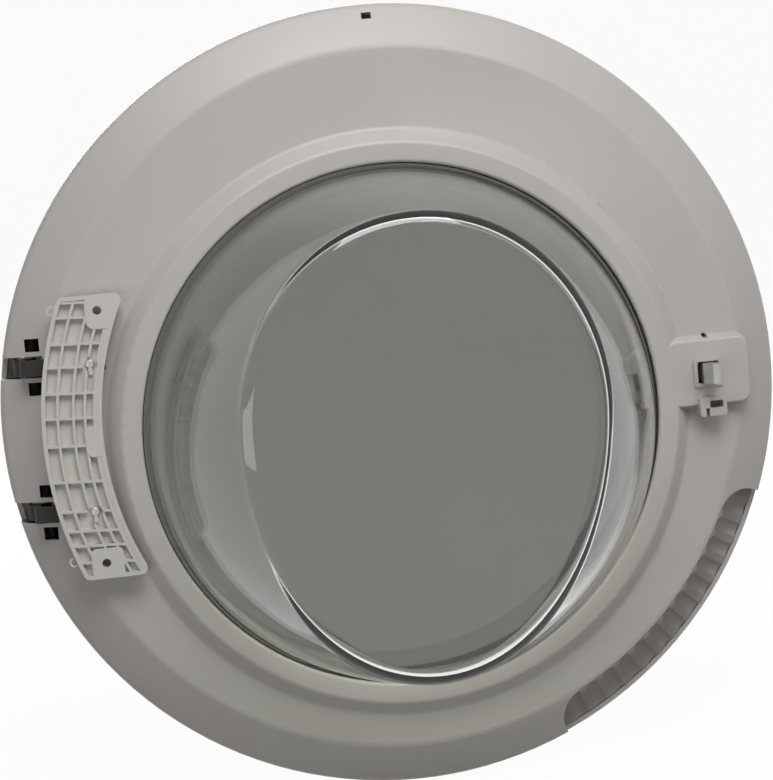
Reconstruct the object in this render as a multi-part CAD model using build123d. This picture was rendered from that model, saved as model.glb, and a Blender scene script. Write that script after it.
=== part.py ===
from build123d import *
import os
from math import atan2, cos, degrees, hypot, radians, sin

# Frame: x right and z up as seen from the drum side, y from the drum towards the room, in mm.
# Shapes are drawn about the rim axis with y = 0 on the machine's front panel. At the end they are
# moved so that the origin is midway between the two hinge screws, on the leaf's mounting face.

# Lip around the glass, which the rest of the door is drawn around, lower than the rim axis
LIP_R = 158.0
LIP_Z = -14.5
LIP_Y = 6.0
LIP_TOP_R = LIP_R + 12.0
LIP_FOOT_R = LIP_R + 20.5

# Inner ring
RIM_R = LIP_R + 82.0
CREASE_R = RIM_R - 27.0
FLAT_Y = 14.0
SHOULDER_Y = FLAT_Y + 13.0
PART_Y = FLAT_Y + 22.0
SKIN = 3.0

# Glass bowl: a round mouth, an oval waist and an egg-shaped front that leans a little
BOWL_R = LIP_R - 1.2
FLANGE_R = LIP_R + 10.5
FLANGE_Y = FLAT_Y
GLASS = 6.0
BOWL_DEEP = 100.0
WAIST = (0.88, 0.93, 0.48)
EGG = (
    (0.684, -0.013), (0.601, 0.329), (0.38, 0.601), (0.0, 0.728), (-0.38, 0.601), (-0.601, 0.329),
    (-0.684, -0.013), (-0.608, -0.418), (-0.373, -0.772), (0.0, -0.949), (0.373, -0.772), (0.608, -0.418),
)
EGG_LEAN = -4.0
BOWL_ROUND = 24.0

# Clamp ring behind the flange
CLAMP_R = LIP_R + 28.0
CLAMP_SCREW_R = LIP_R + 22.5
CLAMP_COUNT = 8
CLAMP_T = 2.5
CLAMP_Y = FLANGE_Y + GLASS

# Front ring and outer window
FRONT_Y = PART_Y + 22.0
WINDOW_HOLE_R = LIP_R + 5.0
WINDOW_R = WINDOW_HOLE_R + 8.0
WINDOW_RISE = 7.0

# Hinge
HINGE_Z = -2.0
ARM_DZ = 43.5
PIVOT_X = 18.0 - RIM_R
PIVOT_Y = PART_Y - 5.0
PIN_R = 3.0
RUN_GAP = 0.05
BUSH_R = PIN_R + 1.6
EYE_R = PIN_R + 4.0
ARM_H = 9.6
ARM_T = 3.0
SLOT_H = ARM_H + 3.2
EAR_DZ = SLOT_H / 2 + 6.5
LEAF_T = FLAT_Y - 5.0
LEAF_LONG = 167.0
LEAF_OUT_R = RIM_R - 24.5
LEAF_IN_R = RIM_R - 59.5
LEAF_X = -(LEAF_OUT_R + LEAF_IN_R) / 2
CELL_DEEP = 3.4
LEAF_HOLES = ((LEAF_X + 21.2, LEAF_LONG / 2 - 9.1), (LEAF_X + 12.0, 9.1 - LEAF_LONG / 2))
HOLE_R = 2.6
STUDS = ((LEAF_X + 14.0, ARM_DZ), (LEAF_X + 8.5, -ARM_DZ))
LEAF_LOOPS = (LEAF_LONG / 2 - 7.3, 11.3 - LEAF_LONG / 2)
CARRIER_DEG = 24.0

# Latch
LATCH_X = RIM_R - 50.0
LATCH_Z = -1.0
PAD_END_X = RIM_R - 20.5
PAD_HALF = 23.0
HOOK_PIN_Y = FLAT_Y - 2.5
HOOK_PIN_R = 1.9
HOOK_TIP_Y = -10.0
HOOK_HALF = 6.0

# Finger grip, in degrees below the right-hand side
GRIP_FROM = 20.0
GRIP_TO = 68.0
GRIP_R = CREASE_R + 1.0
GRIP_FLUTES = 13
FLUTE_R = 7.0
FLUTE_DEPTH = 1.5


def turned(points):
    """Revolves a closed outline of (radius, y) points about the rim axis."""
    return revolve(make_face(Polyline(*points, close=True)), Axis.Y)


def rounded(points, rounds):
    """Makes a face from an outline, with some of its corners rounded."""
    face = make_face(Polyline(*points, close=True))
    for index, radius in rounds.items():
        corner = Vector(*points[index])
        near = face.vertices().sort_by_distance(corner)[0]
        face = fillet(near, radius)
    return face


def prism(sketch, y0, y1):
    """Extrudes a sketch drawn in (x, z) from y0 to y1."""
    return extrude(Plane.XZ.offset(-y1) * sketch, y1 - y0)


def rod_y(r, x, z, y0, y1):
    """Makes a round rod along y."""
    return Pos(x, (y0 + y1) / 2, z) * Rot(90, 0, 0) * Cylinder(r, y1 - y0)


def rod_z(r, x, y, z0, z1):
    """Makes a round rod along z."""
    return Pos(x, y, (z0 + z1) / 2) * Cylinder(r, z1 - z0)


def block(x0, x1, y0, y1, z0, z1):
    """Makes a box between two corners."""
    return Pos((x0 + x1) / 2, (y0 + y1) / 2, (z0 + z1) / 2) * Box(x1 - x0, y1 - y0, z1 - z0)


def sector(r0, r1, y0, y1, a0, a1):
    """Makes a piece of a ring about the rim axis, from a0 to a1 degrees up from +x."""
    face = make_face(Polyline((r0, y0), (r1, y0), (r1, y1), (r0, y1), close=True))
    return Rot(0, -a0, 0) * revolve(face, Axis.Y, -(a1 - a0))


def about_lip(solid):
    """Moves a solid from the rim axis to the lip axis."""
    return Pos(0, 0, LIP_Z) * solid


def at_polar(r, deg):
    """Gives the (x, z) of a point about the rim axis, in degrees up from +x."""
    return r * cos(radians(deg)), r * sin(radians(deg))


def around_lip(count, r, start=0.0):
    """Lists evenly spaced (x, z) places on a circle about the lip axis."""
    spots = [at_polar(r, start + 360 * i / count) for i in range(count)]
    return [(x, z + LIP_Z) for x, z in spots]


def screw(x, z, y_head, y_end, r):
    """Makes a pan-head screw along y, with its head on the room side."""
    shank = rod_y(r, x, z, y_end, y_head)
    head = rod_y(2.0 * r, x, z, y_head, y_head + 1.3 * r)
    slot = rod_y(0.9 * r, x, z, y_head + 0.6 * r, y_head + 1.4 * r)
    return shank + head - slot


SLOT_Z = (HINGE_Z + ARM_DZ, HINGE_Z - ARM_DZ)
CARRIER_SPOTS = [at_polar(RIM_R - 36, 180.0 + d) for d in (-20.0, 2.0, 20.0)]
CLAMP_SPOTS = around_lip(CLAMP_COUNT, CLAMP_SCREW_R, 22.5)
LATCH_SPOTS = [(LATCH_X + 19, LATCH_Z + dz) for dz in (13.5, -13.5)]


def make_inner_ring():
    shell = revolve(
        rounded(
            [
                (RIM_R, PART_Y),
                (RIM_R - 0.6, SHOULDER_Y + 1.5),
                (CREASE_R, FLAT_Y),
                (LIP_R - 18, FLAT_Y),
                (LIP_R - 18, FLAT_Y + SKIN),
                (CREASE_R - 1, FLAT_Y + SKIN),
                (RIM_R - 3.6, SHOULDER_Y + 3.2),
                (RIM_R - SKIN, PART_Y),
            ],
            {1: 6.0, 2: 10.0, 5: 7.0, 6: 3.0},
        ),
        Axis.Y,
    )
    lip = revolve(
        rounded(
            [
                (LIP_FOOT_R + 7, FLAT_Y),
                (LIP_FOOT_R, FLAT_Y),
                (LIP_TOP_R, LIP_Y),
                (LIP_R, LIP_Y),
                (LIP_R, LIP_Y + SKIN),
                (LIP_TOP_R - 1.5, LIP_Y + SKIN),
                (LIP_FOOT_R - 2, FLAT_Y + SKIN),
                (LIP_FOOT_R + 7, FLAT_Y + SKIN),
            ],
            {1: 5.0, 2: 4.5, 3: 2.0},
        ),
        Axis.Y,
    )
    hole = rod_y(LIP_FOOT_R + 2, 0, LIP_Z, 0, 40)
    ring = shell - hole + about_lip(lip)

    pad_long = PAD_END_X - LIP_TOP_R + 8
    pad_face = Pos(PAD_END_X - pad_long / 2, LATCH_Z) * RectangleRounded(pad_long, 2 * PAD_HALF, 9.5)
    pad = extrude(Plane.XZ.offset(-FLAT_Y - 1) * pad_face, FLAT_Y + 1 - LIP_Y, taper=18)
    pad = fillet(pad.faces().sort_by(Axis.Y)[0].edges(), 1.4)
    frame = prism(Pos(LATCH_X, LATCH_Z) * RectangleRounded(18.5, 17.5, 2.0), LIP_Y - 1.4, LIP_Y + 1)
    ring += pad + frame
    ring -= about_lip(
        turned(
            [
                (LIP_R - 18, LIP_Y + SKIN),
                (LIP_TOP_R - 1.5, LIP_Y + SKIN),
                (LIP_FOOT_R - 2, FLAT_Y + SKIN),
                (LIP_FOOT_R - 2, FLAT_Y + 12),
                (LIP_R - 18, FLAT_Y + 12),
            ]
        )
    )
    hollow = Pos(LATCH_X + 10, LATCH_Z) * RectangleRounded(32.0, 2 * PAD_HALF - 12.0, 3.0)
    ring -= prism(hollow, LIP_Y + SKIN, FLAT_Y + SKIN + 1)
    ring -= prism(Pos(LATCH_X, LATCH_Z) * RectangleRounded(13.5, 13.5, 1.0), 0, LIP_Y + SKIN + 1)
    ring -= rod_y(1.7, LATCH_X + 1.2, LATCH_Z + PAD_HALF - 1, 0, PART_Y)

    for x, z in CARRIER_SPOTS:
        ring += rod_y(4.5, x, z, FLAT_Y + 1, PART_Y - 3)
    for x, z in CLAMP_SPOTS:
        ring += rod_y(4.0, x, z, FLAT_Y + 1, CLAMP_Y)
    for x, z in LATCH_SPOTS:
        ring += rod_y(3.8, x, z, LIP_Y + 2, CLAMP_Y)
    for x, z in CARRIER_SPOTS:
        ring -= rod_y(1.5, x, z, FLAT_Y + 7, PART_Y)
    for x, z in CLAMP_SPOTS:
        ring -= rod_y(1.5, x, z, FLAT_Y + 2, PART_Y)
    for x, z in LATCH_SPOTS:
        ring -= rod_y(1.3, x, z, LIP_Y + 6, PART_Y)

    for z in SLOT_Z:
        ring -= block(-RIM_R - 10, PIVOT_X + 10.5, 0, PART_Y + 4, z - SLOT_H / 2, z + SLOT_H / 2)
        for dz in (-EAR_DZ, EAR_DZ):
            ring -= block(PIVOT_X + 1, PIVOT_X + 9.5, 0, PART_Y + 4, z + dz - 3.9, z + dz + 3.9)
    ring -= hinge_sector(PART_Y - 3, PART_Y + 1)
    x, z = at_polar(RIM_R - 8, 90.0)
    ring -= block(x - 3, x + 3, 0, PART_Y + 4, z - 2, z + 2)
    return ring - grip_space(0.0)


def hinge_sector(y0, y1):
    """Gives the outer band of the ring that the hinge carrier takes, with a little room at its ends."""
    return sector(RIM_R - 15, RIM_R + 10, y0, y1, 179.8 - CARRIER_DEG, 180.2 + CARRIER_DEG)


def grip_space(gap):
    """Gives the notch that the grip fills, less a gap on its ends."""
    low = sector(GRIP_R + gap, RIM_R + 20, 0, PART_Y, -GRIP_TO + gap / 4, -GRIP_FROM - gap / 4)
    ends = low.edges().filter_by(Axis.Y).group_by(SortBy.LENGTH)[-1]
    inner = [e for e in ends if abs((e.center().X ** 2 + e.center().Z ** 2) ** 0.5 - GRIP_R - gap) < 0.1]
    return fillet(inner, 0.75 * (RIM_R - GRIP_R))


def cove_points(lift):
    """Gives the points of the grip's hollow curve, from the notch out to the rim, lifted off the surface."""
    wide, deep = RIM_R - 4 - GRIP_R, PART_Y - FLAT_Y
    points = []
    for out, down, lean in ((0.09, 0.07, 20), (0.3, 0.57, 28), (0.59, 0.82, 55), (1.0, 0.92, 80)):
        x, y = GRIP_R + out * wide, FLAT_Y + down * deep
        points.append((x + lift * cos(radians(lean)), y - lift * sin(radians(lean))))
    return points


def make_grip():
    a0, a1 = -GRIP_TO, -GRIP_FROM
    curve = cove_points(0.0)
    edge = Polyline(
        curve[-1], (RIM_R - 4, PART_Y), (GRIP_R - 1, PART_Y), (GRIP_R - 1, FLAT_Y + 1.2), curve[0]
    )
    body = Rot(0, -a0, 0) * revolve(make_face(edge + Spline(*curve)), Axis.Y, -(a1 - a0))
    body = body & grip_space(0.15)
    path = Spline(*cove_points(FLUTE_R - FLUTE_DEPTH))
    start = Plane(path @ 0, z_dir=path % 0)
    flute = sweep(start * Circle(FLUTE_R), path=path)
    step = (a1 - a0) / (GRIP_FLUTES + 1)
    for i in range(GRIP_FLUTES):
        body -= Rot(0, -(a0 + step * (i + 1)), 0) * flute
    return body


def make_front_ring():
    outer = rounded(
        [
            (RIM_R, PART_Y),
            (RIM_R, FRONT_Y - 9),
            (RIM_R - 11, FRONT_Y),
            (LIP_R - 8, FRONT_Y),
            (LIP_R - 8, FRONT_Y - SKIN),
            (RIM_R - 12.4, FRONT_Y - SKIN),
            (RIM_R - SKIN, FRONT_Y - 10.4),
            (RIM_R - SKIN, PART_Y),
        ],
        {1: 6.0, 2: 6.0, 5: 3.0, 6: 3.0},
    )
    ring = revolve(outer, Axis.Y)
    tongue = turned(
        [
            (RIM_R - 6.8, PART_Y - 3.5),
            (RIM_R - 4.4, PART_Y - 3.5),
            (RIM_R - 4.4, PART_Y),
            (RIM_R - 2, PART_Y),
            (RIM_R - 2, PART_Y + 5),
            (RIM_R - 6.8, PART_Y + 5),
        ]
    )
    y0, y1 = PART_Y - 6, PART_Y + 6
    tongue -= sector(RIM_R - 15, RIM_R - SKIN, y0, y1, 178.5 - CARRIER_DEG, 181.5 + CARRIER_DEG)
    tongue -= sector(RIM_R - 15, RIM_R - SKIN, y0, y1, -GRIP_TO - 2, -GRIP_FROM + 2)
    ring += tongue
    ring -= rod_y(WINDOW_HOLE_R, 0, LIP_Z, PART_Y - 6, FRONT_Y + 12)
    ring -= hinge_sector(PART_Y - 6, PART_Y + 1)
    for z in SLOT_Z:
        ring -= block(-RIM_R - 10, 15 - RIM_R, PART_Y - 6, PART_Y + 10, z - SLOT_H / 2, z + SLOT_H / 2)
    return ring


def make_outer_window():
    rim_y = FRONT_Y - SKIN
    dome_r = WINDOW_HOLE_R - 1
    flange = turned(
        [(dome_r - 4, rim_y - 3), (WINDOW_R, rim_y - 3), (WINDOW_R, rim_y), (dome_r - 4, rim_y)]
    )
    ball_r = (dome_r ** 2 + WINDOW_RISE ** 2) / (2 * WINDOW_RISE)
    centre = Pos(0, rim_y + 3 + WINDOW_RISE - ball_r, 0)
    dome = centre * Sphere(ball_r) - centre * Sphere(ball_r - 3)
    dome = dome & rod_y(dome_r, 0, 0, rim_y - 3, rim_y + 30)
    return about_lip(dome + flange)


def bowl_form(inset):
    """Lofts the bowl from its round mouth to its egg-shaped front, with its walls moved in by an inset."""
    mouth = Plane.XZ.offset(-FLANGE_Y) * Circle(BOWL_R - inset)
    wide, high, share = WAIST
    waist_y = FLANGE_Y - share * BOWL_DEEP
    waist = Plane.XZ.offset(-waist_y) * Pos(0, -2) * Ellipse(wide * LIP_R - inset, high * LIP_R - inset)
    points = []
    for x, z in EGG:
        size = LIP_R - inset / hypot(x, z)
        points.append((size * x, size * z))
    egg = make_face(Spline(*points, periodic=True))
    front_y = FLANGE_Y - BOWL_DEEP + inset
    front = Plane.XZ.offset(-front_y) * Pos(0, -LIP_Z) * Rot(0, 0, EGG_LEAN) * egg
    form = loft([mouth.face(), waist.face(), front.face()])
    tip = form.faces().sort_by(Axis.Y)[0]
    return fillet(tip.edges(), BOWL_ROUND - inset)


def make_glass_bowl():
    flange = turned(
        [
            (BOWL_R - GLASS, FLANGE_Y),
            (FLANGE_R, FLANGE_Y),
            (FLANGE_R, FLANGE_Y + GLASS),
            (BOWL_R - GLASS, FLANGE_Y + GLASS),
        ]
    )
    return about_lip(bowl_form(0.0) - bowl_form(GLASS) + flange)


def make_bowl_seal():
    face = rounded(
        [
            (BOWL_R + 0.5, LIP_Y + SKIN),
            (LIP_TOP_R - 2.2, LIP_Y + SKIN),
            (LIP_TOP_R - 2.2, FLANGE_Y),
            (BOWL_R + 0.5, FLANGE_Y),
        ],
        {0: 0.8},
    )
    return about_lip(revolve(face, Axis.Y))


def make_clamp_ring():
    y0 = CLAMP_Y
    ring = about_lip(
        turned(
            [
                (LIP_R + 1, y0),
                (CLAMP_R, y0),
                (CLAMP_R, y0 + CLAMP_T),
                (LIP_R + 4, y0 + CLAMP_T),
                (LIP_R + 4, y0 + 6),
                (LIP_R + 1, y0 + 6),
            ]
        )
    )
    for x, z in CLAMP_SPOTS:
        ring -= rod_y(2.0, x, z, y0 - 1, y0 + 4)
    return ring - block(LATCH_X - 9, RIM_R, y0 - 1, y0 + 8, LATCH_Z - 20, LATCH_Z + 20)


def make_hinge_carrier():
    plate = sector(RIM_R - 41, RIM_R - 1, PART_Y - 3, PART_Y + 1, 180 - CARRIER_DEG, 180 + CARRIER_DEG)
    for z in SLOT_Z:
        for dz in (-EAR_DZ, EAR_DZ):
            ear = block(PIVOT_X - 6, PIVOT_X + 8.5, PIVOT_Y - 6, PART_Y, z + dz - 3.9, z + dz + 3.9)
            plate += fillet(ear.edges().filter_by(Axis.Z).group_by(Axis.Y)[0], 4.0)
        plate -= block(-RIM_R - 10, PIVOT_X + 9.5, 0, PART_Y + 9, z - SLOT_H / 2, z + SLOT_H / 2)
        plate -= rod_z(PIN_R, PIVOT_X, PIVOT_Y, z - 25, z + 25)
    for x, z in CARRIER_SPOTS:
        plate -= rod_y(1.9, x, z, PART_Y - 6, PART_Y + 9)
    skin = turned(
        [
            (CREASE_R - 1, 0),
            (CREASE_R - 1, FLAT_Y + 4.6),
            (RIM_R - 5.8, SHOULDER_Y + 4.5),
            (RIM_R - 5.8, PART_Y - 3),
            (RIM_R + 20, PART_Y - 3),
            (RIM_R + 20, 0),
        ]
    )
    return plate - skin


def make_hinge_arm(z, stud_x):
    half = ARM_H / 2
    y0, y1 = LEAF_T, LEAF_T + ARM_T
    left = PIVOT_X - ARM_T
    strap = rounded(
        [
            (left, PIVOT_Y),
            (left, y0),
            (stud_x + 9, y0),
            (stud_x + 9, y1),
            (PIVOT_X + 1.2, y1),
            (PIVOT_X + 1.2, PIVOT_Y),
        ],
        {1: 5.5, 4: 2.0},
    )
    arm = Pos(0, 0, z - half) * extrude(strap, ARM_H)
    arm += rod_z(EYE_R, PIVOT_X, PIVOT_Y, z - half, z + half)
    arm -= rod_z(BUSH_R, PIVOT_X, PIVOT_Y, z - 20, z + 20)
    return arm - rod_y(2.5, stud_x, z, 0, 20)


def make_bush(z):
    half = ARM_H / 2
    bush = rod_z(BUSH_R, PIVOT_X, PIVOT_Y, z - half - 0.6, z + half + 0.6)
    return bush - rod_z(PIN_R + RUN_GAP, PIVOT_X, PIVOT_Y, z - 20, z + 20)


def make_stud(x, z):
    stud = rod_y(2.5, x, z, CELL_DEEP - 1, LEAF_T + ARM_T)
    head = rod_y(2.7, x, z, CELL_DEEP - 1.8, CELL_DEEP)
    tail = block(x - 1.2, x + 1.2, CELL_DEEP - 1.4, CELL_DEEP, z - 6.5, z)
    return stud + fillet(head.edges().group_by(Axis.Y)[0], 0.8) + tail


def make_hinge_leaf():
    top, low = HINGE_Z + LEAF_LONG / 2, HINGE_Z - LEAF_LONG / 2
    floor_y = CELL_DEEP
    band = Pos(0, HINGE_Z) * (Circle(LEAF_OUT_R) - Circle(LEAF_IN_R))
    outline = band & (Pos(-LEAF_OUT_R, HINGE_Z) * Rectangle(2 * LEAF_OUT_R, LEAF_LONG))
    outline = fillet(outline.vertices(), 4.0)
    inside = offset(outline, amount=-2.4)
    leaf = prism(outline, 0, LEAF_T) - prism(inside, -1, floor_y)
    leaf = fillet(leaf.faces().sort_by(Axis.Y)[-1].outer_wire().edges(), 1.0)
    for share, width in ((0.27, 1.6), (0.53, 1.6), (0.72, 1.6), (0.92, 4.6)):
        r = LEAF_OUT_R + share * (LEAF_IN_R - LEAF_OUT_R)
        rib = Pos(0, HINGE_Z) * (Circle(r + width / 2) - Circle(r - width / 2))
        leaf += prism(rib & inside, 0.3, floor_y + 1)
    for share in (0.018, 0.07, 0.162, 0.243, 0.335, 0.423, 0.521, 0.648, 0.754, 0.824, 0.877, 0.937):
        bar = Pos(LEAF_X, top - share * (top - low)) * Rot(0, 0, -3) * Rectangle(LEAF_OUT_R, 1.6)
        leaf += prism(bar & inside, 0.3, floor_y + 1)
    patches = (
        Pos(LEAF_X + 26, top - 10) * RectangleRounded(24, 20, 5),
        Pos(LEAF_X + 13, low + 8) * RectangleRounded(19, 20, 3),
        Pos(LEAF_X + 15, HINGE_Z - 2) * RectangleRounded(16, 18, 4),
    )
    for patch in patches:
        leaf += prism(patch & inside, 0, floor_y + 1)
    for x, dz in LEAF_HOLES:
        leaf += rod_y(6.0, x, HINGE_Z + dz, 0, LEAF_T - 1)
    for dz in LEAF_LOOPS:
        x = -((LEAF_OUT_R**2 - dz**2) ** 0.5) - 1.6
        leaf += rod_y(3.0, x, HINGE_Z + dz, 2.5, 6.5) - rod_y(1.6, x, HINGE_Z + dz, 0, LEAF_T)
    for x, dz in LEAF_HOLES:
        leaf -= rod_y(HOLE_R, x, HINGE_Z + dz, -1, LEAF_T + 1)
        leaf -= rod_y(4.6, x, HINGE_Z + dz, LEAF_T - 3, LEAF_T + 1)
    for x, dz in STUDS:
        leaf -= rod_y(2.5, x, HINGE_Z + dz, -1, LEAF_T + 1)
        leaf -= rod_y(4.4, x, HINGE_Z + dz, -1, floor_y)
        leaf -= block(x - 1.8, x + 1.8, -1, floor_y, HINGE_Z + dz - 7, HINGE_Z + dz)
    return leaf


def make_latch_housing():
    base = prism(Pos(LATCH_X + 9, LATCH_Z) * RectangleRounded(30, 36, 3), CLAMP_Y, CLAMP_Y + 2.5)
    for side in (-1, 1):
        z = LATCH_Z + side * 10.2
        ear = block(LATCH_X - 5.5, LATCH_X + 5.5, LIP_Y + SKIN, CLAMP_Y + 0.5, z - 2.2, z + 2.2)
        base += ear
    base -= rod_z(HOOK_PIN_R, LATCH_X, HOOK_PIN_Y, LATCH_Z - 30, LATCH_Z + 30)
    base -= block(LATCH_X - 7, LATCH_X + 7, CLAMP_Y - 2, CLAMP_Y + 4, LATCH_Z - 6, LATCH_Z + 6)
    for x, z in LATCH_SPOTS:
        base -= rod_y(1.8, x, z, CLAMP_Y - 2, CLAMP_Y + 4)
    return base


def make_latch_hook():
    x, y = LATCH_X, HOOK_PIN_Y
    nose = rounded(
        [
            (x - 4.4, LIP_Y + 0.5),
            (x - 4.4, -3.0),
            (x - 6.0, -3.0),
            (x - 6.0, -4.6),
            (x - 1.6, HOOK_TIP_Y),
            (x + 1.6, HOOK_TIP_Y),
            (x + 4.4, HOOK_TIP_Y + 3),
            (x + 4.4, LIP_Y + 0.5),
        ],
        {1: 0.8, 5: 1.4, 6: 2.0},
    )
    hook = Pos(0, 0, LATCH_Z - HOOK_HALF) * extrude(nose, 2 * HOOK_HALF)
    hook += block(x - 3, x + 3.2, LIP_Y, y + 2, LATCH_Z - 5, LATCH_Z + 3)
    hook += rod_z(4.6, x, y, LATCH_Z - 5, LATCH_Z + 3)
    hook += block(x - 2, x + 2, y, y + 8, LATCH_Z - 5, LATCH_Z + 3)
    return hook - rod_z(HOOK_PIN_R + RUN_GAP, x, y, LATCH_Z - 30, LATCH_Z + 30)


def make_hook_spring():
    z0, pitch, turns = LATCH_Z + 3.4, 1.0, 3
    coil = [(2.8, z0 + pitch * turns), (2.8, z0)]
    for i in range(turns):
        coil += [(3.5, z0 + pitch * i), (3.8, z0 + pitch * (i + 0.5))]
    coil += [(3.5, z0 + pitch * turns)]
    sleeve = revolve(Plane.XZ * make_face(Polyline(*coil, close=True)), Axis.Z)
    leg = block(2.8, 3.6, 0, 7.5, z0 + 2.1, z0 + 2.9)
    return Pos(LATCH_X, HOOK_PIN_Y, 0) * (sleeve + leg)


def guide_block():
    """Gives the lock guide's whole block, which the ring makes room for."""
    return prism(Pos(LATCH_X + 1, LATCH_Z - 21) * RectangleRounded(17, 12, 1.5), 2.0, FLAT_Y)


def make_lock_guide():
    x, z = LATCH_X + 1, LATCH_Z - 21
    guide = guide_block()
    guide -= prism(Pos(x + 2, z + 1.2) * RectangleRounded(8.5, 4.5, 1), 0, FLAT_Y - 1.5)
    return guide - prism(Pos(x - 3.8, z - 4) * Rectangle(2.2, 6), 0, FLAT_Y - 4)


def build_nodes():
    """Builds every node by name, in the drawing frame."""
    nodes = {
        "inner_ring": make_inner_ring(),
        "front_ring": make_front_ring(),
        "outer_window": make_outer_window(),
        "glass_bowl": make_glass_bowl(),
        "bowl_seal": make_bowl_seal(),
        "clamp_ring": make_clamp_ring(),
        "grip": make_grip(),
        "hinge_carrier": make_hinge_carrier(),
        "hinge_leaf": make_hinge_leaf(),
        "latch_housing": make_latch_housing(),
        "latch_hook": make_latch_hook(),
        "hook_spring": make_hook_spring(),
        "lock_guide": make_lock_guide(),
    }
    nodes["inner_ring"] -= guide_block()
    for side, z, (stud_x, stud_dz) in zip(("upper", "lower"), SLOT_Z, STUDS):
        nodes["hinge_arm_" + side] = make_hinge_arm(z, stud_x)
        nodes["hinge_bush_" + side] = make_bush(z)
        nodes["arm_stud_" + side] = make_stud(stud_x, HINGE_Z + stud_dz)
        nodes["hinge_pin_" + side] = rod_z(PIN_R, PIVOT_X, PIVOT_Y, z - 16.5, z + 16.5)
    nodes["hook_pin"] = rod_z(HOOK_PIN_R, LATCH_X, HOOK_PIN_Y, LATCH_Z - 12.4, LATCH_Z + 12.4)
    rows = (
        ("clamp_screws", CLAMP_SPOTS, CLAMP_Y + CLAMP_T, FLAT_Y + 2.6, 1.5),
        ("carrier_screws", CARRIER_SPOTS, PART_Y + 1, FLAT_Y + 8, 1.5),
        ("latch_screws", LATCH_SPOTS, CLAMP_Y + 2.5, LIP_Y + 7, 1.3),
    )
    for name, spots, y_head, y_end, r in rows:
        nodes[name] = Compound([screw(x, z, y_head, y_end, r) for x, z in spots])
    return nodes


def main():
    os.makedirs("parts", exist_ok=True)
    mid_x = sum(x for x, dz in LEAF_HOLES) / 2
    mid_z = HINGE_Z + sum(dz for x, dz in LEAF_HOLES) / 2
    for name, solid in build_nodes().items():
        export_step(Pos(-mid_x, 0, -mid_z) * solid, f"parts/{name}.step")


if __name__ == "__main__":
    main()
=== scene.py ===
"""Dresses a front-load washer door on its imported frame, and sets up the studio around it."""

import logging
from dataclasses import dataclass, field
from enum import Enum
from math import cos, radians, sin, tau
from typing import Any, Sequence

import bpy
from mathutils import Matrix, Vector


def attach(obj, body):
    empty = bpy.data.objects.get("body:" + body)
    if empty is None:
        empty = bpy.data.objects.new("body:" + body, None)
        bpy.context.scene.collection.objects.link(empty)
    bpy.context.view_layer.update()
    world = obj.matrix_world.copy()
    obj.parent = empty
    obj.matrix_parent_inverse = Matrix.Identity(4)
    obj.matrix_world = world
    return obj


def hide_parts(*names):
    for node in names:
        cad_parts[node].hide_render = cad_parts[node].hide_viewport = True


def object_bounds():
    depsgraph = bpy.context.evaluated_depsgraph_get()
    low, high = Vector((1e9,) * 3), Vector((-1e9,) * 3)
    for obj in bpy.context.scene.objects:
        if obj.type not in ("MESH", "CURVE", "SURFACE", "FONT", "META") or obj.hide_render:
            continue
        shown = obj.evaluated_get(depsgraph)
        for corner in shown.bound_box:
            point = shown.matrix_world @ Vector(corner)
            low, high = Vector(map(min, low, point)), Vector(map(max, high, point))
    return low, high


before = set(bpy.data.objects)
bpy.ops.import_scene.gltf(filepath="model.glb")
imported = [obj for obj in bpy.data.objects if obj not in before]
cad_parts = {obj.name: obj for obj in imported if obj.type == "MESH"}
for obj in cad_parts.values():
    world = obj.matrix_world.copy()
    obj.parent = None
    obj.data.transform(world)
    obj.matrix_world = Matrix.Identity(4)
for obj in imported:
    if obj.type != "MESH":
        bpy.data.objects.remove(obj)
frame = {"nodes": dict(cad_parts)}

logging.basicConfig(level=logging.INFO, format="%(levelname)s %(message)s")
LOG = logging.getLogger("washer_door")

CAD_BOX = [list(corner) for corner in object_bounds()]
IMAGE_WIDTH_PX = 773
MM = 0.001
WHITE = (1.0, 1.0, 1.0, 1.0)
# The sRGB curve: where its straight start ends, that start's slope, and the rest's lift and power.
SRGB_KNEE, SRGB_SLOPE, SRGB_LIFT, SRGB_POWER = 0.04045, 12.92, 0.055, 2.4
# The numbers of the Mix node's sockets for colours: two inputs and the result.
MIX_A, MIX_B, MIX_RESULT = 6, 7, 2


class Body(Enum):
    """The body that the new piece rides on."""

    DOOR = "door"


class Ray(Enum):
    """The kinds of ray that a surface or the world can tell apart."""

    CAMERA = "Is Camera Ray"
    GLOSSY = "Is Glossy Ray"
    TRANSMISSION = "Is Transmission Ray"
    SHADOW = "Is Shadow Ray"


def linear_rgb(hex_colour: str) -> tuple[float, float, float, float]:
    """Turns an sRGB hex colour into linear values.

    Args:
        hex_colour: a colour such as "#AAA7A2".

    Returns:
        Linear red, green and blue, and an alpha of 1.
    """
    parts = [int(hex_colour[i : i + 2], 16) / 255 for i in (1, 3, 5)]
    red, green, blue = (
        v / SRGB_SLOPE if v <= SRGB_KNEE else ((v + SRGB_LIFT) / (1 + SRGB_LIFT)) ** SRGB_POWER
        for v in parts
    )
    return red, green, blue, 1.0


def add_node(tree: Any, kind: str, settings: dict | None = None, links: dict | None = None) -> Any:
    """Adds one node with its settings and its incoming links.

    Args:
        tree: the node tree.
        kind: the node's type name.
        settings: attribute names, or input names and numbers, with their values.
        links: input names or numbers with the output sockets that feed them.

    Returns:
        The new node.
    """
    node = tree.nodes.new(kind)
    for key, value in (settings or {}).items():
        if isinstance(key, str) and hasattr(node, key):
            setattr(node, key, value)
        else:
            node.inputs[key].default_value = value
    for key, source in (links or {}).items():
        tree.links.new(source, node.inputs[key])
    return node


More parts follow.
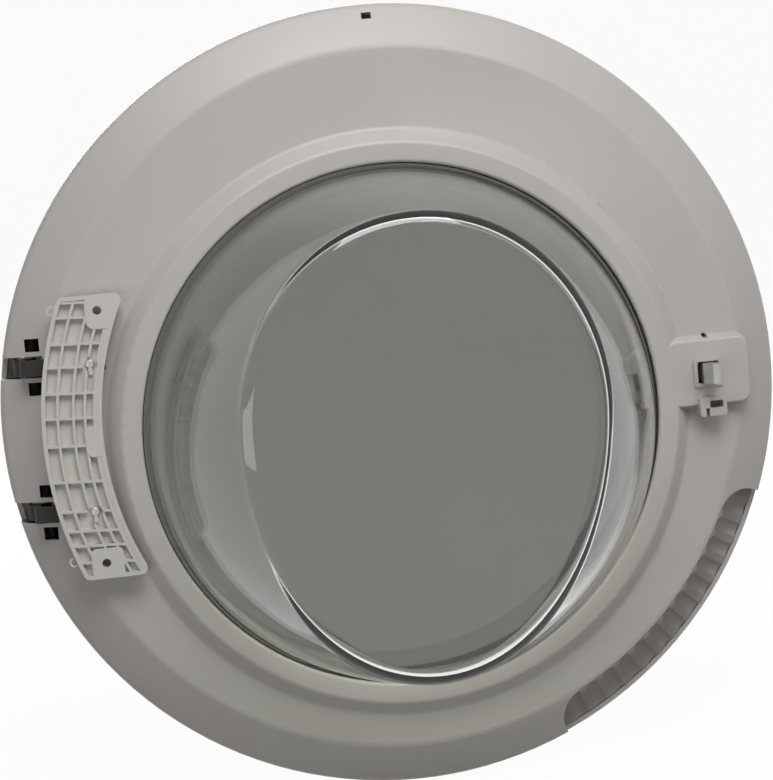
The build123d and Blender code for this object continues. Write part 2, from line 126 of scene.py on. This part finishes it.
def empty_tree(owner: Any) -> Any:
    """Gives a material or a world an empty node tree.

    Args:
        owner: the material or the world.

    Returns:
        Its node tree.
    """
    owner.use_nodes = True
    owner.node_tree.nodes.clear()
    return owner.node_tree


def background_rays(tree: Any) -> Any:
    """Picks out the rays that show the background: the camera's, and those off or through a piece.

    Args:
        tree: the node tree of the paper or the world.

    Returns:
        The socket that is 1 for such a ray and 0 for any other.
    """
    path = add_node(tree, "ShaderNodeLightPath").outputs
    seen = path[Ray.CAMERA.value]
    for ray in (Ray.GLOSSY, Ray.TRANSMISSION):
        either = {0: seen, 1: path[ray.value]}
        seen = add_node(tree, "ShaderNodeMath", {"operation": "MAXIMUM"}, either).outputs[0]
    return seen


@dataclass(frozen=True)
class Finish:
    """One real material's finish: a Principled surface with a bump at the real scale.

    Attributes:
        name: the material's common name and how its surface was made.
        colour: the main sRGB colour.
        shade: the darker sRGB colour of its slow variation.
        patch_mm: the size of that variation.
        grain_mm: the size of the surface grain.
        grain_depth_mm: the depth of the grain's bump.
        roughness: the mean roughness.
        spread: how far the roughness varies each way.
        shader: further Principled inputs, the same all over the surface.
        passes: the tint of the lamps' light that one surface of a clear material lets through.
        patch_detail: how many finer steps the slow variation has.
        grain_detail: how many finer steps the grain has.
        bump_strength: how much of the grain's depth shows.
    """

    name: str
    colour: str
    shade: str
    patch_mm: float
    grain_mm: float
    grain_depth_mm: float
    roughness: float
    spread: float
    shader: dict
    passes: str = ""
    patch_detail: float = 3.0
    grain_detail: float = 2.0
    bump_strength: float = 0.6

    def make(self) -> Any:
        """Builds the material.

        Returns:
            The new material.
        """
        material = bpy.data.materials.new(self.name)
        tree = empty_tree(material)
        links = self.links(tree)
        surface = add_node(tree, "ShaderNodeBsdfPrincipled", self.shader, links).outputs[0]
        if self.passes:
            shadow = add_node(tree, "ShaderNodeLightPath").outputs[Ray.SHADOW.value]
            tint = {"Color": linear_rgb(self.passes)}
            clear = add_node(tree, "ShaderNodeBsdfTransparent", tint).outputs[0]
            mixed = {0: shadow, 1: surface, 2: clear}
            surface = add_node(tree, "ShaderNodeMixShader", links=mixed).outputs[0]
        add_node(tree, "ShaderNodeOutputMaterial", links={"Surface": surface})
        return material

    def links(self, tree: Any) -> dict:
        """Adds the pattern nodes.

        Args:
            tree: the material's node tree.

        Returns:
            The Principled inputs with the sockets that feed them.
        """
        place = {"Vector": add_node(tree, "ShaderNodeTexCoord").outputs["Object"]}
        slow = {"Scale": 1 / (self.patch_mm * MM), "Detail": self.patch_detail}
        patches = add_node(tree, "ShaderNodeTexNoise", slow, place).outputs["Fac"]
        tones = {
            "data_type": "RGBA",
            MIX_A: linear_rgb(self.shade),
            MIX_B: linear_rgb(self.colour),
        }
        colour = add_node(tree, "ShaderNodeMix", tones, {0: patches})
        fine = {"Scale": 1 / (self.grain_mm * MM), "Detail": self.grain_detail}
        grain = add_node(tree, "ShaderNodeTexNoise", fine, place).outputs["Fac"]
        span = {"To Min": self.roughness - self.spread, "To Max": self.roughness + self.spread}
        rough = add_node(tree, "ShaderNodeMapRange", span, {"Value": patches})
        depth = {"Strength": self.bump_strength, "Distance": self.grain_depth_mm * MM}
        bump = add_node(tree, "ShaderNodeBump", depth, {"Height": grain})
        return {
            "Base Color": colour.outputs[MIX_RESULT],
            "Roughness": rough.outputs[0],
            "Normal": bump.outputs[0],
        }


# Moulded ABS: a satin, faintly warm grey that scatters softly, with a fine spark-eroded grain.
MOULDED_ABS = Finish(
    "moulded_abs",
    colour="#B3AFAB",
    shade="#ADA9A5",
    patch_mm=90.0,
    grain_mm=0.9,
    grain_depth_mm=0.012,
    roughness=0.45,
    spread=0.05,
    shader={"IOR": 1.53},
)
# Moulded acetal: a paler, slightly waxy white on the leaf and the bushes.
MOULDED_ACETAL = Finish(
    "moulded_acetal",
    colour="#C4C1BC",
    shade="#BAB7B2",
    patch_mm=25.0,
    grain_mm=1.5,
    grain_depth_mm=0.02,
    roughness=0.42,
    spread=0.06,
    shader={"IOR": 1.48},
)
# Pressed soda-lime glass: clear with a green-grey cast, a slow waviness and a hard gloss.
PRESSED_GLASS = Finish(
    "pressed_soda_lime_glass",
    colour="#F3F5F1",
    shade="#EDEFEB",
    patch_mm=80.0,
    grain_mm=42.0,
    grain_depth_mm=0.14,
    roughness=0.03,
    spread=0.01,
    shader={"IOR": 1.52, "Transmission Weight": 1.0},
    passes="#EBECE9",
)
# Smoked acrylic: a see-through neutral grey sheet, polished on both sides.
SMOKED_ACRYLIC = Finish(
    "smoked_acrylic",
    colour="#656561",
    shade="#5F5F5B",
    patch_mm=120.0,
    grain_mm=60.0,
    grain_depth_mm=0.05,
    roughness=0.06,
    spread=0.02,
    shader={"IOR": 1.49, "Transmission Weight": 1.0},
    passes="#80807C",
)
# EPDM rubber: near black, matt, with a dusty bloom.
EPDM_RUBBER = Finish(
    "epdm_rubber",
    colour="#2B2A27",
    shade="#20201D",
    patch_mm=18.0,
    grain_mm=0.8,
    grain_depth_mm=0.03,
    roughness=0.72,
    spread=0.08,
    shader={"IOR": 1.5},
)
# Zinc-plated steel: a light grey metal with a soft, slightly blotchy sheen.
ZINC_STEEL = Finish(
    "zinc_plated_steel",
    colour="#B4B4B0",
    shade="#9A9A96",
    patch_mm=6.0,
    grain_mm=0.7,
    grain_depth_mm=0.015,
    roughness=0.34,
    spread=0.08,
    shader={"Metallic": 1.0},
)
# E-coated steel: a dark grey, dull film over pressed strip, with a faint orange peel.
COATED_STEEL = Finish(
    "e_coated_steel",
    colour="#2F2E2D",
    shade="#262524",
    patch_mm=12.0,
    grain_mm=1.6,
    grain_depth_mm=0.02,
    roughness=0.6,
    spread=0.08,
    shader={"Specular IOR Level": 0.25},
)
# Glass-filled nylon: black, dull, with flow marks.
FILLED_NYLON = Finish(
    "glass_filled_nylon",
    colour="#10100F",
    shade="#0A0A0A",
    patch_mm=20.0,
    grain_mm=0.8,
    grain_depth_mm=0.03,
    roughness=0.66,
    spread=0.08,
    shader={"Specular IOR Level": 0.2},
)
# Moulded polypropylene: the grip's grey, matt and finely textured.
GRIP_PP = Finish(
    "moulded_polypropylene",
    colour="#8F8A85",
    shade="#86817C",
    patch_mm=14.0,
    grain_mm=0.9,
    grain_depth_mm=0.04,
    roughness=0.52,
    spread=0.08,
    shader={"IOR": 1.49},
)

NODE_FINISHES: dict[str, Finish] = {
    "inner_ring": MOULDED_ABS,
    "front_ring": MOULDED_ABS,
    "outer_window": SMOKED_ACRYLIC,
    "glass_bowl": PRESSED_GLASS,
    "bowl_seal": EPDM_RUBBER,
    "clamp_ring": ZINC_STEEL,
    "clamp_screws": ZINC_STEEL,
    "grip": GRIP_PP,
    "hinge_carrier": FILLED_NYLON,
    "carrier_screws": ZINC_STEEL,
    "hinge_pin_upper": ZINC_STEEL,
    "hinge_pin_lower": ZINC_STEEL,
    "hinge_leaf": MOULDED_ACETAL,
    "hinge_arm_upper": COATED_STEEL,
    "hinge_arm_lower": COATED_STEEL,
    "hinge_bush_upper": MOULDED_ACETAL,
    "hinge_bush_lower": MOULDED_ACETAL,
    "arm_stud_upper": ZINC_STEEL,
    "arm_stud_lower": ZINC_STEEL,
    "latch_housing": FILLED_NYLON,
    "latch_screws": ZINC_STEEL,
    "latch_hook": ZINC_STEEL,
    "hook_pin": ZINC_STEEL,
    "hook_spring": ZINC_STEEL,
    "lock_guide": MOULDED_ABS,
}


@dataclass
class Smoother:
    """Joins a CAD node's loose triangles for shading and keeps its hard edges.

    Attributes:
        angle_deg: the angle between faces past which an edge stays sharp.
        merge_mm: how near two corners lie to count as one.
    """

    angle_deg: float = 28.0
    merge_mm: float = 0.002

    def group(self) -> Any:
        """Builds the geometry node group.

        Returns:
            The node group.
        """
        tree = bpy.data.node_groups.new("smooth_by_edge_angle", "GeometryNodeTree")
        for way in ("INPUT", "OUTPUT"):
            tree.interface.new_socket("Geometry", in_out=way, socket_type="NodeSocketGeometry")
        start = add_node(tree, "NodeGroupInput").outputs[0]
        near = {"Distance": self.merge_mm * MM}
        merged = add_node(tree, "GeometryNodeMergeByDistance", near, {"Geometry": start})
        smooth = add_node(
            tree,
            "GeometryNodeSetShadeSmooth",
            {"domain": "FACE"},
            {"Geometry": merged.outputs[0]},
        )
        angle = add_node(tree, "GeometryNodeInputMeshEdgeAngle").outputs[0]
        past = {"operation": "GREATER_THAN", 1: radians(self.angle_deg)}
        sharp = add_node(tree, "FunctionNodeCompare", past, {0: angle})
        edges = add_node(
            tree,
            "GeometryNodeSetShadeSmooth",
            {"domain": "EDGE", "Shade Smooth": False},
            {"Geometry": smooth.outputs[0], "Selection": sharp.outputs[0]},
        )
        add_node(tree, "NodeGroupOutput", links={0: edges.outputs[0]})
        return tree

    def apply_to(self, nodes: Sequence[Any]) -> None:
        """Adds the smoothing modifier to each object.

        Args:
            nodes: the CAD objects.
        """
        group = self.group()
        for node in nodes:
            modifier = node.modifiers.new("smooth", "NODES")
            modifier.node_group = group


@dataclass
class Dresser:
    """Gives every CAD node its finish.

    Attributes:
        finishes: each node's finish.
        made: the materials built so far, by name.
    """

    finishes: dict[str, Finish]
    made: dict[str, Any] = field(default_factory=dict)

    def material(self, finish: Finish) -> Any:
        """Finds a finish's material, or builds it the first time.

        Args:
            finish: the finish.

        Returns:
            Its material.
        """
        if finish.name not in self.made:
            self.made[finish.name] = finish.make()
        return self.made[finish.name]

    def dress(self, nodes: dict[str, Any]) -> None:
        """Sets each node's only material slot.

        Args:
            nodes: the CAD objects by name.
        """
        for name, finish in self.finishes.items():
            mesh = nodes[name].data
            mesh.materials.clear()
            mesh.materials.append(self.material(finish))
            LOG.info("dressed %s in %s", name, finish.name)


@dataclass
class GlassBowl:
    """The pressed bowl: a flange, a round mouth, an oval waist and a tight-edged egg-shaped front.

    All sizes are in millimetres, in the door's own frame.

    Attributes:
        axis: the mouth's centre, across and up.
        flange_y: where the flange's drum side lies.
        flange_r: the flange's radius.
        mouth_r: the mouth's radius.
        mouth_step: how far outside the mouth the flange's inner ring lies.
        waist: the waist's half width and half height.
        waist_share: how far along the bowl's depth the waist lies.
        waist_drop: how far the waist lies below the mouth's centre.
        deep: from the flange to the front.
        egg: how far the front reaches to the left, to the right, up and down.
        egg_rise: how far the front's centre lies above the mouth's.
        egg_lean_deg: how far the front leans, clockwise from the drum side.
        wall: the glass's thickness.
        wall_start: how far along the depth the wall's first ring lies, as a share.
        wall_stop: how far short of the front its last ring lies, as a multiple of edge_cut.
        edge_cut: how far the rounding at the front's edge reaches along each face.
        edge_steps: the faces across that rounding.
        crease_deg: the angle between faces past which an edge stays sharp.
        around: the points around each section.
        rings: the sections of the wall.
    """

    axis: tuple[float, float] = (181.4, -12.5)
    flange_y: float = 14.0
    flange_r: float = 168.5
    mouth_r: float = 156.8
    mouth_step: float = 2.0
    waist: tuple[float, float] = (139.0, 146.9)
    waist_share: float = 0.48
    waist_drop: float = 2.0
    deep: float = 100.0
    egg: tuple[float, float, float, float] = (105.0, 102.0, 112.0, 152.0)
    egg_rise: float = 14.5
    egg_lean_deg: float = 4.0
    wall: float = 6.0
    wall_start: float = 0.02
    wall_stop: float = 1.6
    edge_cut: float = 7.5
    edge_steps: int = 10
    crease_deg: float = 40.0
    around: int = 192
    rings: int = 18

    def front(self, turn: float) -> Vector:
        """Places one point of the egg-shaped front.

        Args:
            turn: the point's angle round the front, in radians.

        Returns:
            Its place across and up from the mouth's centre.
        """
        left, right, up, down = self.egg
        across, rise = cos(turn), sin(turn)
        half_width, half_height = right if across > 0 else left, up if rise > 0 else down
        flat = Vector((half_width * across, half_height * rise))
        flat.rotate(Matrix.Rotation(radians(-self.egg_lean_deg), 2))
        return flat + Vector((0.0, self.egg_rise))

    def section(self, share: float, mouth_r: float | None = None) -> list[Vector]:
        """Places one section of the outer face, on parabolas through mouth, waist and front.

        Args:
            share: from 0 at the mouth to 1 at the front.
            mouth_r: another radius for the mouth, as on the flange.

        Returns:
            The section's points in metres, in order round the bowl.
        """
        bend, points = self.waist_share, []
        weights = (
            (share - bend) * (share - 1) / bend,
            share * (share - 1) / (bend * (bend - 1)),
            share * (share - bend) / (1 - bend),
        )
        for i in range(self.around):
            turn = tau * i / self.around
            mouth = Vector((cos(turn), sin(turn))) * (mouth_r or self.mouth_r)
            half_width, half_height = self.waist
            waist = Vector((half_width * cos(turn), half_height * sin(turn) - self.waist_drop))
            flat = weights[0] * mouth + weights[1] * waist + weights[2] * self.front(turn)
            depth = self.flange_y - share * self.deep
            points.append(Vector((self.axis[0] + flat.x, depth, self.axis[1] + flat.y)) * MM)
        return points

    def draw_ring(self, bowl: Any, ring: list[int], points: list[Vector]) -> list[int]:
        """Extrudes the selected ring of edges once, and moves the new ring to its place.

        Args:
            bowl: the bowl in edit mode.
            ring: the last ring's vertices, in order.
            points: the new ring's places, in order.

        Returns:
            The new ring's vertices, in order.
        """
        bpy.ops.mesh.extrude_edges_move()
        bpy.ops.object.mode_set(mode="OBJECT")
        old = {tuple(bowl.data.vertices[index].co): i for i, index in enumerate(ring)}
        new = [0] * len(ring)
        for vertex in bowl.data.vertices:
            if vertex.select:
                new[old[tuple(vertex.co)]] = vertex.index
        for index, point in zip(new, points):
            bowl.data.vertices[index].co = point
        bpy.ops.object.mode_set(mode="EDIT")
        return new

    def draw(self) -> Any:
        """Draws the outer face ring by ring from the flange, and closes and rounds its front.

        Returns:
            The bowl as an open sheet, in edit mode.
        """
        bpy.ops.object.select_all(action="DESELECT")
        bpy.ops.mesh.primitive_circle_add(vertices=self.around, radius=self.flange_r * MM)
        bowl = bpy.context.object
        bowl.name = "pressed_bowl"
        for vertex, point in zip(bowl.data.vertices, self.section(0.0, self.flange_r)):
            vertex.co = point
        bpy.ops.object.mode_set(mode="EDIT")
        bpy.ops.mesh.select_mode(type="EDGE")
        bpy.ops.mesh.select_all(action="SELECT")
        first, last = self.wall_start, 1 - self.wall_stop * self.edge_cut / self.deep
        sections = [self.section(0.0, self.mouth_r + self.mouth_step)]
        for i in range(self.rings):
            sections.append(self.section(first + (last - first) * i / (self.rings - 1)))
        sections.append(self.section(1.0))
        ring = list(range(self.around))
        for points in sections:
            ring = self.draw_ring(bowl, ring, points)
        bpy.ops.mesh.edge_face_add()
        bpy.ops.mesh.bevel(
            offset=self.edge_cut * MM, segments=self.edge_steps, affect="EDGES"
        )
        return bowl

    def thicken(self, bowl: Any) -> None:
        """Turns the sheet's faces outwards, towards the drum at the front, and gives it its wall.

        Args:
            bowl: the open sheet, in edit mode.
        """
        bpy.ops.mesh.select_all(action="SELECT")
        bpy.ops.mesh.normals_make_consistent(inside=False)
        bpy.ops.object.mode_set(mode="OBJECT")
        if max(bowl.data.polygons, key=lambda face: face.area).normal.y > 0:
            bpy.ops.object.mode_set(mode="EDIT")
            bpy.ops.mesh.flip_normals()
            bpy.ops.object.mode_set(mode="OBJECT")
        thick = bowl.modifiers.new("wall", "SOLIDIFY")
        thick.thickness = self.wall * MM
        thick.offset = -1.0
        thick.use_even_offset = True
        bpy.ops.object.modifier_apply(modifier=thick.name)
        bpy.ops.object.shade_smooth_by_angle(angle=radians(self.crease_deg))
        bpy.ops.object.transform_apply(location=True, rotation=True, scale=True)

    def build(self, material: Any) -> None:
        """Builds the bowl in place of its plainer solid, and dresses it.

        Args:
            material: the glass.
        """
        bowl = self.draw()
        self.thicken(bowl)
        bowl.data.materials.append(material)
        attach(bowl, Body.DOOR.value)
        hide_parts("glass_bowl")
        LOG.info("drew %s with %d faces", bowl.name, len(bowl.data.polygons))


@dataclass(frozen=True)
class Lamp:
    """One soft rectangular lamp that faces the door.

    Attributes:
        name: the lamp's name.
        offset: where it stands, in metres from the point that it faces.
        size: its width and height in metres.
        power: its power in watts.
        roll_deg: how far it is turned about the line to the door.
    """

    name: str
    offset: tuple[float, float, float]
    size: tuple[float, float]
    power: float
    roll_deg: float = 0.0

    def hang(self, target: Vector) -> None:
        """Adds the lamp, which glass shows only as a reflection.

        Args:
            target: the point that it faces.
        """
        data = bpy.data.lights.new(self.name, "AREA")
        data.shape = "RECTANGLE"
        data.size, data.size_y = self.size
        data.energy = self.power
        lamp = bpy.data.objects.new(self.name, data)
        bpy.context.scene.collection.objects.link(lamp)
        offset = Vector(self.offset)
        turn = (-offset).to_track_quat("-Z", "Y").to_matrix().to_4x4()
        roll = Matrix.Rotation(radians(self.roll_deg), 4, "Z")
        lamp.matrix_world = Matrix.Translation(target + offset) @ turn @ roll
        lamp.visible_transmission = False


LAMPS = (
    Lamp("key", (0.1, -1.05, 1.45), (1.2, 0.8), 24.5),
    Lamp("strip", (0.85, -1.0, 0.65), (1.5, 0.3), 4.0, -45.0),
    Lamp("fill", (-0.8, -1.1, -0.1), (0.9, 0.25), 2.0),
    Lamp("room", (-0.25, 1.9, 0.9), (1.2, 0.8), 24.0),
)


@dataclass
class Studio:
    """The pale floor and backdrop, the lamps and the camera, in metres.

    Attributes:
        target: the point that the camera and the lamps face.
        azimuth_deg: the camera's angle to the right of the door's axis, negative to the left.
        elevation_deg: the camera's angle above the door's axis.
        roll_deg: how far the door is turned anticlockwise in the picture.
        distance: from the camera to the target.
        focal_px: the focal length, in pixels of the picture.
        sensor_mm: the width of the camera's sensor.
        floor_gap: how far the floor lies below the door.
        floor_size: the floor's width and length.
        backdrop_height: how high the backdrop stands at the floor's far edge.
        paper_glow: how much of the paper's look is plain white, with the rest lit by the lamps.
        paper_seen: the lit paper's sRGB colour, as the camera sees it.
        paper_bounce: the lit paper's sRGB colour, for the light that it throws back.
        world_light: the strength of the world's even light.
    """

    target: tuple[float, float, float] = (0.17323, 0.020, 0.00873)
    azimuth_deg: float = -8.31
    elevation_deg: float = 5.60
    roll_deg: float = 5.04
    distance: float = 1.2
    focal_px: float = 1974.0
    sensor_mm: float = 36.0
    floor_gap: float = 0.002
    floor_size: float = 8.0
    backdrop_height: float = 4.0
    paper_glow: float = 0.95
    paper_seen: str = "#F4F3F1"
    paper_bounce: str = "#908F8D"
    world_light: float = 0.11

    def camera(self) -> None:
        """Places the camera at the photograph's angle."""
        azimuth, elevation = radians(self.azimuth_deg), radians(self.elevation_deg)
        level = cos(elevation)
        back = Vector((sin(azimuth) * level, -cos(azimuth) * level, sin(elevation)))
        data = bpy.data.cameras.new("camera")
        data.sensor_fit = "HORIZONTAL"
        data.sensor_width = self.sensor_mm
        data.lens = self.focal_px / IMAGE_WIDTH_PX * self.sensor_mm
        eye = bpy.data.objects.new("camera", data)
        bpy.context.scene.collection.objects.link(eye)
        place = Matrix.Translation(Vector(self.target) + back * self.distance)
        turn = back.to_track_quat("Z", "Y").to_matrix().to_4x4()
        roll = Matrix.Rotation(radians(-self.roll_deg), 4, "Z")
        eye.matrix_world = place @ turn @ roll
        bpy.context.scene.camera = eye

    def floor(self) -> None:
        """Builds the floor and the backdrop as one folded sheet of paper."""
        low = CAD_BOX[0][2] - self.floor_gap
        bpy.ops.object.select_all(action="DESELECT")
        bpy.ops.mesh.primitive_plane_add(
            size=self.floor_size, location=(self.target[0], 0.0, low)
        )
        floor = bpy.context.object
        floor.name = "floor"
        bpy.ops.object.transform_apply(location=True, rotation=True, scale=True)
        bpy.ops.object.mode_set(mode="EDIT")
        bpy.ops.mesh.select_mode(type="EDGE")
        bpy.ops.mesh.select_all(action="DESELECT")
        bpy.ops.object.mode_set(mode="OBJECT")
        for edge in floor.data.edges:
            edge.select = min(floor.data.vertices[i].co.y for i in edge.vertices) > 0
        bpy.ops.object.mode_set(mode="EDIT")
        rise = {"value": (0.0, 0.0, self.backdrop_height)}
        bpy.ops.mesh.extrude_region_move(TRANSFORM_OT_translate=rise)
        bpy.ops.object.mode_set(mode="OBJECT")
        floor.data.materials.append(self.paper())

    def paper(self) -> Any:
        """Makes the paper: nearly white to the camera, mirrors and glass, with the door's shadow.

        Returns:
            The material.
        """
        material = bpy.data.materials.new("backdrop_paper")
        tree = empty_tree(material)
        seen = background_rays(tree)
        glow = {"operation": "MULTIPLY", 1: self.paper_glow}
        share = add_node(tree, "ShaderNodeMath", glow, {0: seen}).outputs[0]
        white = add_node(tree, "ShaderNodeEmission", {"Color": WHITE, "Strength": 1.0}).outputs[0]
        tones = {
            "data_type": "RGBA",
            MIX_A: linear_rgb(self.paper_bounce),
            MIX_B: linear_rgb(self.paper_seen),
        }
        tone = add_node(tree, "ShaderNodeMix", tones, {0: seen}).outputs[MIX_RESULT]
        matt = add_node(tree, "ShaderNodeBsdfDiffuse", links={"Color": tone}).outputs[0]
        both = add_node(tree, "ShaderNodeMixShader", links={0: share, 1: matt, 2: white})
        add_node(tree, "ShaderNodeOutputMaterial", links={"Surface": both.outputs[0]})
        return material

    def world(self) -> None:
        """Makes the world: as white as the paper where it is seen, and a dim, even light."""
        world = bpy.data.worlds.new("studio")
        tree = empty_tree(world)
        seen = background_rays(tree)
        span = {"To Min": self.world_light, "To Max": self.paper_glow}
        glow = add_node(tree, "ShaderNodeMapRange", span, {"Value": seen}).outputs[0]
        sky = add_node(tree, "ShaderNodeBackground", {"Color": WHITE}, {"Strength": glow})
        add_node(tree, "ShaderNodeOutputWorld", links={"Surface": sky.outputs[0]})
        bpy.context.scene.world = world

    def build(self) -> None:
        """Builds the whole studio."""
        self.camera()
        self.floor()
        self.world()
        for lamp in LAMPS:
            lamp.hang(Vector(self.target))
        bpy.context.scene.view_settings.view_transform = "Standard"


def main() -> None:
    """Builds the studio, smooths and dresses every CAD node, and adds the bowl."""
    Studio().build()
    nodes = frame["nodes"]
    Smoother().apply_to(list(nodes.values()))
    dresser = Dresser(NODE_FINISHES)
    dresser.dress(nodes)
    GlassBowl().build(dresser.material(PRESSED_GLASS))


if __name__ == "__main__":
    main()
